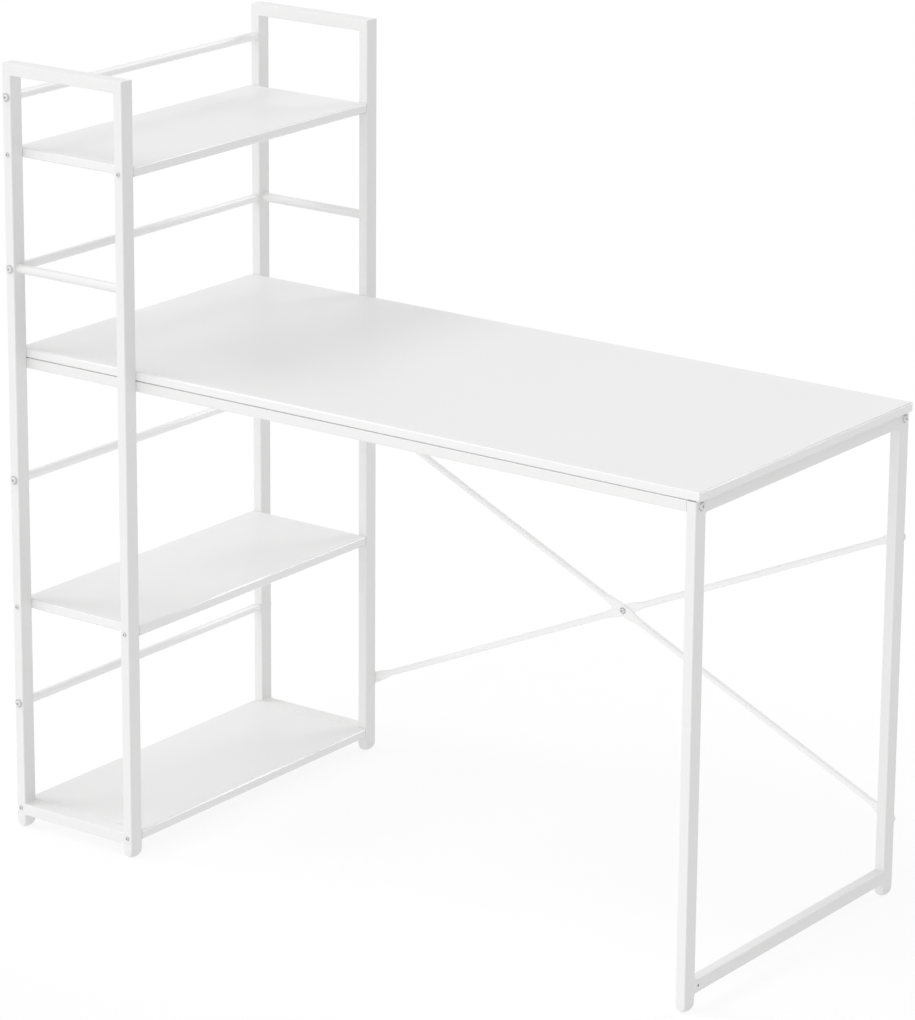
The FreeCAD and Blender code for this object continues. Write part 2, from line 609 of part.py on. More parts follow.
def end_plate(body, name, lean, up=None, turn=UPRIGHT):
    """Flat end of a brace rod, with a round tip about its hole, against the face that it is bolted to."""
    out = f"{lean} - {size.brace_flat_thickness}"
    outline = new_sketch(body, f"{name}_outline", "XZ_Plane", out, up, turn)
    unit = Part.Circle(Vector(), Vector(0, 0, 1), 1)
    right, left = Vector(1, 0, 0), Vector(-1, 0, 0)
    corners = (right, Vector(1, 1, 0), Vector(-1, 1, 0), left)
    half_turn = unit.parameter(left)
    tip = outline.addGeometry(Part.ArcOfCircle(unit, half_turn, 2 * half_turn))
    sides = [outline.addGeometry(Part.LineSegment(*ends)) for ends in zip(corners, corners[1:])]
    loop = [tip, *sides]
    for edge, following in zip(loop, sides + [tip]):
        tie(outline, "Coincident", edge, END, following, START)
    tie(outline, "Coincident", tip, CENTRE, *ORIGIN)
    tie(outline, "PointOnObject", tip, START, X_AXIS)
    tie(outline, "PointOnObject", tip, END, X_AXIS)
    for side, direction in zip(sides, ("Vertical", "Horizontal", "Vertical")):
        tie(outline, direction, side)
    bind(outline, size.brace_flat_width, "Diameter", tip)
    bind(outline, size.brace_plate_length, "DistanceY", *ORIGIN, sides[0], END)
    add_circle(outline, bolt_hole)
    pad(body, name, outline, size.brace_flat_thickness)


def brace_rod(name, start_z, rise, centre_side):
    """Brace rod from the back post to the back leg. Its centre flat lies before or behind the other rod's."""
    body = new_piece(name)
    radius = f"{size.brace_diameter} / 2"
    half_flat = f"{size.brace_flat_thickness} / 2"
    middle = f"({brace_span} / 2)"
    flat_from = f"({middle} - {size.brace_centre_half})"
    flat_to = f"({middle} + {size.brace_centre_half})"
    centre = f"-{brace_lean} / 2 {centre_side} {half_flat}"
    far_plate = f"({brace_span} - {size.brace_plate_length})"
    end_plate(body, "post_end", radius)
    sections = [
        flat_section(body, "post_flat", size.brace_plate_length, f"{half_flat} - {radius}"),
        round_section(body, "post_neck", round_start),
        round_section(body, "near_neck", f"({flat_from} - {size.brace_neck_length})"),
        flat_section(body, "near_flat", flat_from, centre),
        flat_section(body, "far_flat", flat_to, centre),
        round_section(body, "far_neck", f"({flat_to} + {size.brace_neck_length})"),
        round_section(body, "leg_neck", f"({brace_span} - {round_start})"),
        flat_section(body, "leg_flat", far_plate, f"{half_flat} - {radius} - {brace_lean}"),
    ]
    rod = body.newObject("PartDesign::AdditiveLoft", f"{name}_rod")
    rod.Profile = sections[0]
    rod.Sections = sections[1:]
    rod.Ruled = True
    doc.recompute()
    end_plate(body, "leg_end", f"{brace_lean} + {radius}", brace_span, Rotation(Vector(0, 0, 1), 180))
    drill(body, "centre_hole", [middle], bolt_hole)
    place(body, right_post_x, brace_axis_y, start_z, ALONG)
    body.setExpression("Placement.Rotation.Angle", f"atan2({brace_run}; {rise})")


# Back brace: two crossed rods, bolted to each other and, at their ends, to the back post and the back leg.
brace_rod("brace_falling_rod", size.brace_high_height, f"-{brace_rise}", "-")
brace_rod("brace_rising_rod", size.brace_low_height, brace_rise, "+")

crossing_x = f"({right_post_x} + {brace_run} / 2)"
crossing_z = f"({size.brace_low_height} + {brace_rise} / 2)"
centre_bolt_length = f"2 * {size.brace_flat_thickness} + {size.nut_height} + {size.bolt_end}"
centre_bolt = bolt(new_piece("brace_centre_bolt"), centre_bolt_length, size.brace_head_diameter)
place(centre_bolt, crossing_x, f"{brace_middle_y} - {size.brace_flat_thickness}", crossing_z, FORWARD)

centre_nut = new_piece("brace_centre_nut")
nut_section = new_sketch(centre_nut, "section")
add_hexagon(nut_section, f"({size.bolt_diameter} + 2 * {size.nut_wall})")
add_circle(nut_section, bolt_hole)
pad(centre_nut, "block", nut_section, size.nut_height)
place(centre_nut, crossing_x, f"{brace_middle_y} + {size.brace_flat_thickness}", crossing_z, BACKWARD)

brace_faces = ((right_post_x, size.frame_depth), (leg_x, inner_back_y))
brace_points = [(x, y, z) for x, y in brace_faces for z in brace_zs]
group("brace_rivet_nuts", [(rivet_nut, x, y, z, BACKWARD) for x, y, z in brace_points])
end_bolt_length = f"{size.brace_flat_thickness} + {size.rivet_nut_length}"
end_bolt = bolt(new_pattern("brace_end_bolt"), end_bolt_length, size.brace_head_diameter)
flat = size.brace_flat_thickness
group("brace_end_bolts", [(end_bolt, x, f"{y} + {flat}", z, BACKWARD) for x, y, z in brace_points])

# Feet: domed plastic plugs pushed into the lower ends of the posts and legs.
feet = {
    "rack_front_left_foot": (left_post_x, front_y),
    "rack_front_right_foot": (right_post_x, front_y),
    "rack_back_left_foot": (left_post_x, back_y),
    "rack_back_right_foot": (right_post_x, back_y),
    "leg_front_foot": (leg_x, front_leg_y),
    "leg_back_foot": (leg_x, back_leg_y),
}
for name, (x, y) in feet.items():
    foot = new_piece(name)
    outline = new_sketch(foot, "outline")
    inset = f"2 * {size.foot_inset}"
    add_rectangle(outline, f"{size.tube_width} - {inset}", f"{size.tube_depth} - {inset}")
    block = pad(foot, "block", outline, size.foot_height)
    middle = block.Shape.BoundBox.Center.z
    domed = round_edges(foot, "dome", block, size.foot_dome, lambda edge: edge.BoundBox.ZMax < middle)
    round_edges(foot, "corners", domed, size.tube_corner, is_upright)
    stem = new_sketch(foot, "stem", out=size.foot_height)
    add_rectangle(stem, f"{size.tube_width} - {tube_room}", tube_plug_depth)
    pad(foot, "stem_block", stem, size.foot_stem_length)
    place(foot, x, y, "0")

doc.recompute()
failed = [item.Label for item in doc.Objects if {"Invalid", "Error"} & set(item.State)]
broken = [piece.Label for piece in pieces if piece.Shape.isNull() or not piece.Shape.isValid()]
if failed or broken:
    raise RuntimeError(f"failed objects: {failed}, broken pieces: {broken}")

os.makedirs("parts", exist_ok=True)
for piece in pieces:
    piece.Shape.exportStep(f"parts/{piece.Label}.step")
print(f"{len(pieces)} pieces, {sum(len(piece.Shape.Solids) for piece in pieces)} solids")
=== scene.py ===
import math

import bpy
from mathutils import Matrix, Vector


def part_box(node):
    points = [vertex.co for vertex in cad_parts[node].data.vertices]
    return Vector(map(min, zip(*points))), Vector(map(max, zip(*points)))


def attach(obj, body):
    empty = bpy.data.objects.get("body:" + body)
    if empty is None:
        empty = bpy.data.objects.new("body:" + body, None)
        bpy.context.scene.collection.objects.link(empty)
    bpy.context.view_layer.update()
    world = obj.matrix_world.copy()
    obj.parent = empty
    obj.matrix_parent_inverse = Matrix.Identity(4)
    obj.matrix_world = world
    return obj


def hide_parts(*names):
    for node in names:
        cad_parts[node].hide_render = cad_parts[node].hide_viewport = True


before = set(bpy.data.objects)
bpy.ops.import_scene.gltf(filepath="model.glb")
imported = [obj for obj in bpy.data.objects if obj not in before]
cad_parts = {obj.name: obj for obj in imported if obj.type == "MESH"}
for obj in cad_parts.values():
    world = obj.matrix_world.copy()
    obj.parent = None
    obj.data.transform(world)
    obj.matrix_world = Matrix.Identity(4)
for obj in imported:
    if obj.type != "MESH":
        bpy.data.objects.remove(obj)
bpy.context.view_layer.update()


# The rack's two end frames are cold-rolled steel tube of 16 x 25 mm, mitred at the top corners and welded.
# They are ground smooth after welding and powder coated white, so that coat and welds read as one skin.
RACK_SIDES = ("front", "back")
NOISE_MIDDLE = 0.5


def add_node(tree, kind, **settings):
    node = tree.nodes.new(kind)
    for setting, value in settings.items():
        setattr(node, setting, value)
    return node


def set_inputs(node, **values):
    for socket, value in values.items():
        node.inputs[socket.replace("_", " ")].default_value = value


def make_painted_skin():
    """A painted or moulded surface on Object coordinates: orange peel, cloudy tone and uneven gloss."""
    group = bpy.data.node_groups.new("painted_skin", "ShaderNodeTree")
    for name, kind, start in (
        ("Colour", "NodeSocketColor", (0.85, 0.85, 0.85, 1.0)),
        ("Peel Scale", "NodeSocketFloat", 600.0),
        ("Cloud Scale", "NodeSocketFloat", 9.0),
        ("Cloud Depth", "NodeSocketFloat", 0.02),
        ("Gloss Middle", "NodeSocketFloat", 0.4),
        ("Gloss Spread", "NodeSocketFloat", 0.1),
    ):
        socket = group.interface.new_socket(name=name, in_out="INPUT", socket_type=kind)
        socket.default_value = start
    for name, kind in (
        ("Colour", "NodeSocketColor"),
        ("Roughness", "NodeSocketFloat"),
        ("Height", "NodeSocketFloat"),
    ):
        group.interface.new_socket(name=name, in_out="OUTPUT", socket_type=kind)
    given = add_node(group, "NodeGroupInput")
    result = add_node(group, "NodeGroupOutput")
    place = add_node(group, "ShaderNodeTexCoord")

    peel = add_node(group, "ShaderNodeTexNoise")
    set_inputs(peel, Detail=2.0, Roughness=0.45)
    group.links.new(place.outputs["Object"], peel.inputs["Vector"])
    group.links.new(given.outputs["Peel Scale"], peel.inputs["Scale"])
    group.links.new(peel.outputs["Fac"], result.inputs["Height"])

    cloud = add_node(group, "ShaderNodeTexNoise")
    set_inputs(cloud, Detail=4.0, Roughness=0.6)
    group.links.new(place.outputs["Object"], cloud.inputs["Vector"])
    group.links.new(given.outputs["Cloud Scale"], cloud.inputs["Scale"])
    centred = add_node(group, "ShaderNodeMath", operation="SUBTRACT")
    centred.inputs[1].default_value = NOISE_MIDDLE
    group.links.new(cloud.outputs["Fac"], centred.inputs[0])
    depth = add_node(group, "ShaderNodeMath", operation="MULTIPLY_ADD")
    depth.inputs[2].default_value = 1.0
    group.links.new(centred.outputs["Value"], depth.inputs[0])
    group.links.new(given.outputs["Cloud Depth"], depth.inputs[1])
    tone = add_node(group, "ShaderNodeVectorMath", operation="SCALE")
    group.links.new(given.outputs["Colour"], tone.inputs[0])
    group.links.new(depth.outputs["Value"], tone.inputs["Scale"])
    group.links.new(tone.outputs["Vector"], result.inputs["Colour"])

    smudge = add_node(group, "ShaderNodeTexNoise")
    set_inputs(smudge, Scale=38.0, Detail=3.0, Roughness=0.55)
    group.links.new(place.outputs["Object"], smudge.inputs["Vector"])
    spread = add_node(group, "ShaderNodeMath", operation="SUBTRACT")
    spread.inputs[1].default_value = NOISE_MIDDLE
    group.links.new(smudge.outputs["Fac"], spread.inputs[0])
    gloss = add_node(group, "ShaderNodeMath", operation="MULTIPLY_ADD")
    group.links.new(spread.outputs["Value"], gloss.inputs[0])
    group.links.new(given.outputs["Gloss Spread"], gloss.inputs[1])
    group.links.new(given.outputs["Gloss Middle"], gloss.inputs[2])
    group.links.new(gloss.outputs["Value"], result.inputs["Roughness"])
    return group


painted_skin = make_painted_skin()


def painted_material(name, colour, bump_strength, bump_height, **skin):
    material = bpy.data.materials.new(name)
    material.use_nodes = True
    tree = material.node_tree
    shader = tree.nodes["Principled BSDF"]
    surface = add_node(tree, "ShaderNodeGroup", node_tree=painted_skin)
    surface.inputs["Colour"].default_value = (*colour, 1.0)
    set_inputs(surface, **skin)
    bump = add_node(tree, "ShaderNodeBump")
    set_inputs(bump, Strength=bump_strength, Distance=bump_height)
    tree.links.new(surface.outputs["Colour"], shader.inputs["Base Color"])
    tree.links.new(surface.outputs["Roughness"], shader.inputs["Roughness"])
    tree.links.new(surface.outputs["Height"], bump.inputs["Height"])
    tree.links.new(bump.outputs["Normal"], shader.inputs["Normal"])
    return material


def finish_nodes(material, *names):
    for name in names:
        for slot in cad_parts[name].material_slots:
            slot.material = material


powder_coat = painted_material(
    "powder_coat", colour=(0.865, 0.865, 0.862), bump_strength=0.25, bump_height=0.0002,
    Peel_Scale=620.0, Cloud_Scale=7.0, Cloud_Depth=0.03, Gloss_Middle=0.38, Gloss_Spread=0.16,
)
for side in RACK_SIDES:
    finish_nodes(
        powder_coat,
        f"rack_{side}_left_post", f"rack_{side}_right_post", f"rack_{side}_top_bar",
        f"rack_{side}_bottom_bar", f"rack_{side}_side_rod",
    )


# The bottom bars and the round side rods are welded to the posts before coating.
# Each bead is dressed flush on the outer faces and left as a small fillet in the corners,
# all under the same coat.
WELD_SIZE = 0.0018
WELD_ROOT = 0.0016
WELD_DRESSING = 0.00003
WELD_FLARE = 3 * WELD_SIZE
WELD_SMOOTHING = 35.0
# Each step of a fillet is how far it reaches past the rod and how much it rises, in weld sizes.
FILLET_STEPS = ((0.45, 0.15), (0.15, 0.3), (0.02, 0.55))
FILLET_PLATE = WELD_ROOT / 4
FILLET_SMOOTHING = 55.0
ROUND_SIDES = 48
FACING = 0.9


def choose_alone(piece):
    if bpy.context.mode != "OBJECT":
        bpy.ops.object.mode_set(mode="OBJECT")
    bpy.ops.object.select_all(action="DESELECT")
    piece.select_set(True)
    bpy.context.view_layer.objects.active = piece


def pick_faces(piece, wanted):
    """Leaves the piece in edit mode with only the wanted faces selected."""
    choose_alone(piece)
    bpy.ops.object.mode_set(mode="EDIT")
    bpy.ops.mesh.select_mode(type="FACE")
    bpy.ops.mesh.select_all(action="DESELECT")
    bpy.ops.object.mode_set(mode="OBJECT")
    for face in piece.data.polygons:
        face.select = wanted(face)
    bpy.ops.object.mode_set(mode="EDIT")


def pick_edges(piece, wanted):
    """Leaves the piece in edit mode with only the edges selected whose two ends are wanted."""
    choose_alone(piece)
    bpy.ops.object.mode_set(mode="EDIT")
    bpy.ops.mesh.select_mode(type="EDGE")
    bpy.ops.mesh.select_all(action="DESELECT")
    bpy.ops.object.mode_set(mode="OBJECT")
    points = piece.data.vertices
    for edge in piece.data.edges:
        edge.select = wanted(points[edge.vertices[0]].co, points[edge.vertices[1]].co)
    bpy.ops.object.mode_set(mode="EDIT")


def settle(piece):
    """Puts the piece's place, turn and size into its mesh."""
    choose_alone(piece)
    bpy.ops.object.transform_apply(location=True, rotation=True, scale=True)


def set_copy(piece, spot, turn):
    """A copy of a modelled piece, with its own mesh, turned and set at its spot."""
    twin = piece.copy()
    twin.data = piece.data.copy()
    bpy.context.scene.collection.objects.link(twin)
    twin.matrix_world = Matrix.Translation(spot) @ turn.to_4x4()
    settle(twin)
    return twin


def join_copies(name, copies):
    """Joins the copies into one named piece that rides on the desk."""
    bpy.ops.object.select_all(action="DESELECT")
    for twin in copies:
        twin.select_set(True)
    bpy.context.view_layer.objects.active = copies[0]
    bpy.ops.object.join()
    whole = bpy.context.active_object
    whole.name = name
    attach(whole, "root")
    return whole


def model_bar_weld(depth, height):
    """A weld round the end of a flat-sided bar that runs along +X from the face at x = 0."""
    bpy.ops.mesh.primitive_cube_add(size=1.0, location=((WELD_SIZE - WELD_ROOT) / 2, 0.0, 0.0))
    weld = bpy.context.active_object
    weld.scale = (WELD_SIZE + WELD_ROOT, depth - 2 * WELD_DRESSING, height)
    settle(weld)
    pick_edges(weld, lambda a, b: abs(a.x - b.x) > WELD_ROOT)
    bpy.ops.mesh.bevel(offset=WELD_ROOT, segments=3, affect="EDGES")
    pick_faces(weld, lambda face: face.normal.x < -FACING)
    wider = (height + WELD_FLARE) / height
    bpy.ops.transform.resize(value=(1.0, 1.0, wider), center_override=(0.0, 0.0, 0.0))
    bpy.ops.object.mode_set(mode="OBJECT")
    bpy.ops.object.shade_smooth_by_angle(angle=math.radians(WELD_SMOOTHING))
    weld.data.materials.append(powder_coat)
    return weld


def model_rod_weld(radius):
    """A hollow fillet round the end of a rod that runs along +X from the face at x = 0."""
    reach = radius + WELD_SIZE
    bpy.ops.mesh.primitive_cylinder_add(vertices=ROUND_SIDES, radius=reach, depth=FILLET_PLATE)
    weld = bpy.context.active_object
    pick_faces(weld, lambda face: face.normal.z > FACING)
    for share, rise in FILLET_STEPS:
        bpy.ops.mesh.extrude_region_move(TRANSFORM_OT_translate={"value": (0.0, 0.0, rise * WELD_SIZE)})
        narrower = (radius + share * WELD_SIZE) / reach
        bpy.ops.transform.resize(value=(narrower, narrower, 1.0), center_override=(0.0, 0.0, 0.0))
        reach = reach * narrower
    bpy.ops.object.mode_set(mode="OBJECT")
    weld.rotation_euler = (0.0, math.pi / 2, 0.0)
    settle(weld)
    bpy.ops.object.shade_smooth_by_angle(angle=math.radians(FILLET_SMOOTHING))
    weld.data.materials.append(powder_coat)
    return weld


def weld_ends(weld, node, axis):
    """Copies of a weld for both ends of a bar that runs along the given axis."""
    low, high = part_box(node)
    middle = (low + high) / 2
    quarter = 0.0 if axis == 0 else math.pi / 2
    start = middle.copy()
    start[axis] = low[axis]
    end = middle.copy()
    end[axis] = high[axis]
    return [
        set_copy(weld, start, Matrix.Rotation(quarter, 3, "Z")),
        set_copy(weld, end, Matrix.Rotation(quarter + math.pi, 3, "Z")),
    ]


bar_low, bar_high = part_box("rack_front_bottom_bar")
bar_weld = model_bar_weld(bar_high.y - bar_low.y, bar_high.z - bar_low.z)
rod_low, rod_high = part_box("rack_front_side_rod")
rod_weld = model_rod_weld((rod_high.z - rod_low.z) / 2)
rack_welds = []
for side in RACK_SIDES:
    rack_welds += weld_ends(bar_weld, f"rack_{side}_bottom_bar", 0)
    rack_welds += weld_ends(rod_weld, f"rack_{side}_side_rod", 0)
join_copies("rack_welds", rack_welds)
bpy.data.objects.remove(bar_weld)
bpy.data.objects.remove(rod_weld)


# Four round rails tie the two end frames together along the rack's left side, with a bolt at each end.
# Each is thin-walled steel tube under a smooth white enamel, made whiter than the frames' coat as painted
# light.
enamel_with_painted_light = painted_material(
    "white_enamel_with_painted_light", colour=(0.95, 0.95, 0.947), bump_strength=0.06, bump_height=0.0001,
    Peel_Scale=500.0, Cloud_Scale=11.0, Cloud_Depth=0.02, Gloss_Middle=0.56, Gloss_Spread=0.08,
)
set_inputs(enamel_with_painted_light.node_tree.nodes["Principled BSDF"], Coat_Weight=1.0, Coat_Roughness=0.42, Coat_IOR=2.0)
finish_nodes(enamel_with_painted_light, "left_rail_top", "left_rail_upper", "left_rail_middle", "left_rail_lower")


# The three rack shelves are 15 mm particle board faced with white melamine, screwed through the posts.
# A 2 mm plastic band is glued round the four edges and trimmed to a chamfer.
# It meets the faces in a hairline joint.
BAND_CHAMFER = 0.0018
BAND_WIDTH = 0.0021
HAIRLINE = 0.00012
BOARD_SMOOTHING = 40.0

melamine = painted_material(
    "melamine", colour=(0.87, 0.87, 0.868), bump_strength=0.12, bump_height=0.0001,
    Peel_Scale=1500.0, Cloud_Scale=3.0, Cloud_Depth=0.02, Gloss_Middle=0.42, Gloss_Spread=0.1,
)
edge_band = painted_material(
    "edge_band", colour=(0.89, 0.89, 0.888), bump_strength=0.1, bump_height=0.0001,
    Peel_Scale=900.0, Cloud_Scale=14.0, Cloud_Depth=0.02, Gloss_Middle=0.22, Gloss_Spread=0.06,
)
set_inputs(edge_band.node_tree.nodes["Principled BSDF"], Coat_Weight=0.5)


def model_board(name, node, shadow_gap=0.0, seat_inset=0.0):
    """An edge-banded board in a node's place; a shadow gap lifts its rim off what it lies on."""
    low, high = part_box(node)
    base = Vector((low.x, low.y, low.z + shadow_gap))
    bpy.ops.mesh.primitive_cube_add(size=1.0, location=(base + high) / 2)
    board = bpy.context.active_object
    board.name = name
    board.scale = high - base
    settle(board)
    pick_edges(board, lambda a, b: True)
    bpy.ops.mesh.bevel(offset=BAND_CHAMFER, segments=1, affect="EDGES")
    for up in (1.0, -1.0):
        pick_faces(board, lambda face: face.normal.z * up > FACING)
        bpy.ops.mesh.inset(thickness=BAND_WIDTH - BAND_CHAMFER)
        bpy.ops.mesh.inset(thickness=HAIRLINE, depth=-HAIRLINE)
        bpy.ops.mesh.inset(thickness=HAIRLINE, depth=HAIRLINE)
    if shadow_gap:
        bpy.ops.mesh.inset(thickness=seat_inset)
        bpy.ops.mesh.extrude_region_move(TRANSFORM_OT_translate={"value": (0.0, 0.0, -shadow_gap)})
    bpy.ops.object.mode_set(mode="OBJECT")
    board.data.materials.append(melamine)
    board.data.materials.append(edge_band)
    for face in board.data.polygons:
        middle = face.center
        inward = min(middle.x - low.x, high.x - middle.x, middle.y - low.y, high.y - middle.y)
        face.material_index = 1 if inward < BAND_WIDTH else 0
    bpy.ops.object.shade_smooth_by_angle(angle=math.radians(BOARD_SMOOTHING))
    even = board.modifiers.new("flat_faces", "WEIGHTED_NORMAL")
    even.keep_sharp = True
    bpy.ops.object.modifier_apply(modifier=even.name)
    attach(board, "root")
    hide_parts(node)


for level_name in ("top", "middle", "bottom"):
    model_board(f"{level_name}_shelf_board", f"{level_name}_shelf")


# Two steel rails carry the desk top, from the rack's left face to the legs at the right.
# They are powder coated like the frames, bolted to the posts from inside, with plastic caps at the left.
finish_nodes(powder_coat, "desk_front_rail", "desk_back_rail")
moulded_plastic = painted_material(
    "moulded_plastic", colour=(0.85, 0.85, 0.847), bump_strength=0.2, bump_height=0.0001,
    Peel_Scale=2200.0, Cloud_Scale=30.0, Cloud_Depth=0.03, Gloss_Middle=0.46, Gloss_Spread=0.1,
)
finish_nodes(moulded_plastic, "desk_front_rail_end_cap", "desk_back_rail_end_cap")


# The leg frame at the right end is two legs, a top rail and a bottom rail of steel tube, coated alike.
# The rails are welded between the legs, and the beads are dressed flush like the rack's.
finish_nodes(powder_coat, "leg_front", "leg_back", "leg_top_rail", "leg_bottom_rail")
rail_low, rail_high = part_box("leg_top_rail")
rail_weld = model_bar_weld(rail_high.x - rail_low.x, rail_high.z - rail_low.z)
leg_welds = weld_ends(rail_weld, "leg_top_rail", 1) + weld_ends(rail_weld, "leg_bottom_rail", 1)
join_copies("leg_frame_welds", leg_welds)
bpy.data.objects.remove(rail_weld)


# The desk top is one long board of the same white melamine, laid on the rails and screwed from below.
# Its banded rim stands just clear of the rails, which leaves a thin dark line along the joint.
TOP_SHADOW_GAP = 0.0004
TOP_SEAT_INSET = 0.003
model_board("desk_top_board", "desk_top", TOP_SHADOW_GAP, TOP_SEAT_INSET)


# The brace at the back is two steel rods with pressed-flat ends and middles, crossed and bolted.
# They have the rails' white enamel, whose extra whiteness is painted light, under a thinner clear coat.
brace_enamel_with_painted_light = enamel_with_painted_light.copy()
brace_enamel_with_painted_light.name = "brace_enamel_with_painted_light"
set_inputs(brace_enamel_with_painted_light.node_tree.nodes["Principled BSDF"], Coat_IOR=1.5)
finish_nodes(brace_enamel_with_painted_light, "brace_falling_rod", "brace_rising_rod")


# Button-head bolts and screws hold the rails, shelves, legs and brace, and are lacquered white.
# Each head is a thin flange and a steep dome with a groove between them and a hexagon socket, cold-formed.
# The sockets and the floors of the grooves are coloured grey: painted shade in those hollows.
FLANGE_SHARE = 0.3
GROOVE_SHARE = 0.85
RIM_SHARE = 0.9
DOME_SHARE = 0.72
DOME_ROUNDING = 0.8
SOCKET_DEPTH = 0.0014
HEAD_EDGE = 0.00012
SHANK_EDGE = 4 * HEAD_EDGE
HEAD_EASING_ANGLE = 40.0
HEAD_SMOOTHING = 35.0
PAINTED_SHADE_MARGIN = 1.2
FIRST_TURN = 17.0
NEXT_TURN = 37.0
SAME_POINT = 0.000001
TO_FRONT = (0.0, -1.0, 0.0)
TO_BACK = (0.0, 1.0, 0.0)
TO_RIGHT = (1.0, 0.0, 0.0)

lacquer = painted_material(
    "bolt_lacquer", colour=(0.8, 0.8, 0.8), bump_strength=0.15, bump_height=0.0001,
    Peel_Scale=1800.0, Cloud_Scale=60.0, Cloud_Depth=0.08, Gloss_Middle=0.3, Gloss_Spread=0.12,
)
# A mid grey that paints shade into the bolts' sockets and the floor of every head's groove.
groove_and_socket_painted_shade = painted_material(
    "groove_and_socket_painted_shade", colour=(0.58, 0.58, 0.58), bump_strength=0.2, bump_height=0.0001,
    Peel_Scale=1400.0, Cloud_Scale=90.0, Cloud_Depth=0.2, Gloss_Middle=0.5, Gloss_Spread=0.12,
)
# Bare steel, darkened further as painted shade, for the screws' sockets.
bare_steel_and_painted_shade = painted_material(
    "bare_steel_and_painted_shade", colour=(0.36, 0.36, 0.365), bump_strength=0.2, bump_height=0.0001,
    Peel_Scale=1400.0, Cloud_Scale=90.0, Cloud_Depth=0.2, Gloss_Middle=0.5, Gloss_Spread=0.12,
)


def merge_points(piece, reach):
    """Merges points of the piece that lie within reach of each other, and leaves it in edit mode."""
    choose_alone(piece)
    bpy.ops.object.mode_set(mode="EDIT")
    bpy.ops.mesh.select_all(action="SELECT")
    bpy.ops.mesh.remove_doubles(threshold=reach)


def loose_boxes(name):
    """The box round each separate solid of a CAD node, measured on a merged copy that is then removed."""
    copied = bpy.data.objects.new("measured_copy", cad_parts[name].data.copy())
    bpy.context.scene.collection.objects.link(copied)
    merge_points(copied, SAME_POINT)
    bpy.ops.mesh.separate(type="LOOSE")
    bpy.ops.object.mode_set(mode="OBJECT")
    boxes = []
    for solid in list(bpy.context.selected_objects):
        points = [point.co for point in solid.data.vertices]
        low = Vector([min(point[axis] for point in points) for axis in range(3)])
        high = Vector([max(point[axis] for point in points) for axis in range(3)])
        boxes.append((low, high))
        bpy.data.objects.remove(solid)
    return sorted(boxes, key=lambda box: tuple(round(value, 5) for value in box[0]))


def model_bolt(head_width, shank_length, head_height, shank_width, socket_width, socket_painted_shade):
    """A bolt whose head stands up from z = 0 and whose shank goes down."""
    radius = head_width / 2
    rim = RIM_SHARE * radius
    dome = DOME_SHARE * radius
    flange = FLANGE_SHARE * head_height
    groove = GROOVE_SHARE * flange
    rise = head_height - flange
    socket_reach = socket_width / math.sqrt(3.0)
    dome_round = min(DOME_ROUNDING * rise, dome - socket_reach - 2 * HEAD_EDGE)

    bpy.ops.mesh.primitive_cylinder_add(vertices=ROUND_SIDES, radius=radius, depth=flange)
    bolt = bpy.context.active_object
    bolt.location = (0.0, 0.0, flange / 2)
    settle(bolt)
    pick_faces(bolt, lambda face: face.normal.z > FACING)
    bpy.ops.mesh.inset(thickness=radius - rim)
    bpy.ops.mesh.extrude_region_move(TRANSFORM_OT_translate={"value": (0.0, 0.0, -groove)})
    bpy.ops.mesh.inset(thickness=rim - dome)
    bpy.ops.mesh.extrude_region_move(TRANSFORM_OT_translate={"value": (0.0, 0.0, rise + groove)})
    bpy.ops.mesh.bevel(offset=dome_round, segments=6, affect="EDGES")
    pick_faces(bolt, lambda face: face.normal.z < -FACING)
    bpy.ops.mesh.inset(thickness=radius - shank_width / 2)
    bpy.ops.mesh.extrude_region_move(TRANSFORM_OT_translate={"value": (0.0, 0.0, -shank_length)})
    bpy.ops.mesh.bevel(offset=SHANK_EDGE, segments=2, affect="EDGES")
    bpy.ops.object.mode_set(mode="OBJECT")

    bpy.ops.mesh.primitive_cylinder_add(vertices=6, radius=socket_reach, depth=2 * SOCKET_DEPTH)
    key_shape = bpy.context.active_object
    key_shape.location = (0.0, 0.0, head_height)
    settle(key_shape)
    choose_alone(bolt)
    socket = bolt.modifiers.new("hexagon_socket", "BOOLEAN")
    socket.operation = "DIFFERENCE"
    socket.object = key_shape
    bpy.ops.object.modifier_apply(modifier=socket.name)
    bpy.data.objects.remove(key_shape)
    eased = bolt.modifiers.new("eased_edges", "BEVEL")
    eased.width = HEAD_EDGE
    eased.segments = 2
    eased.limit_method = "ANGLE"
    eased.angle_limit = math.radians(HEAD_EASING_ANGLE)
    bpy.ops.object.modifier_apply(modifier=eased.name)

    # Socket faces take the socket's painted shade, and groove floors the grey painted shade.
    for finish in (lacquer, socket_painted_shade, groove_and_socket_painted_shade):
        bolt.data.materials.append(finish)
    socket_floor = head_height - PAINTED_SHADE_MARGIN * SOCKET_DEPTH
    socket_mouth = head_height - 2 * HEAD_EDGE
    groove_floor = flange - PAINTED_SHADE_MARGIN * groove
    groove_mouth = flange - 2 * HEAD_EDGE
    for face in bolt.data.polygons:
        reach = math.hypot(face.center.x, face.center.y)
        if reach < socket_reach and socket_floor < face.center.z < socket_mouth:
            face.material_index = 1
        elif dome - HEAD_EDGE < reach < rim and groove_floor < face.center.z < groove_mouth:
            face.material_index = 2
    bpy.ops.object.shade_smooth_by_angle(angle=math.radians(HEAD_SMOOTHING))
    return bolt


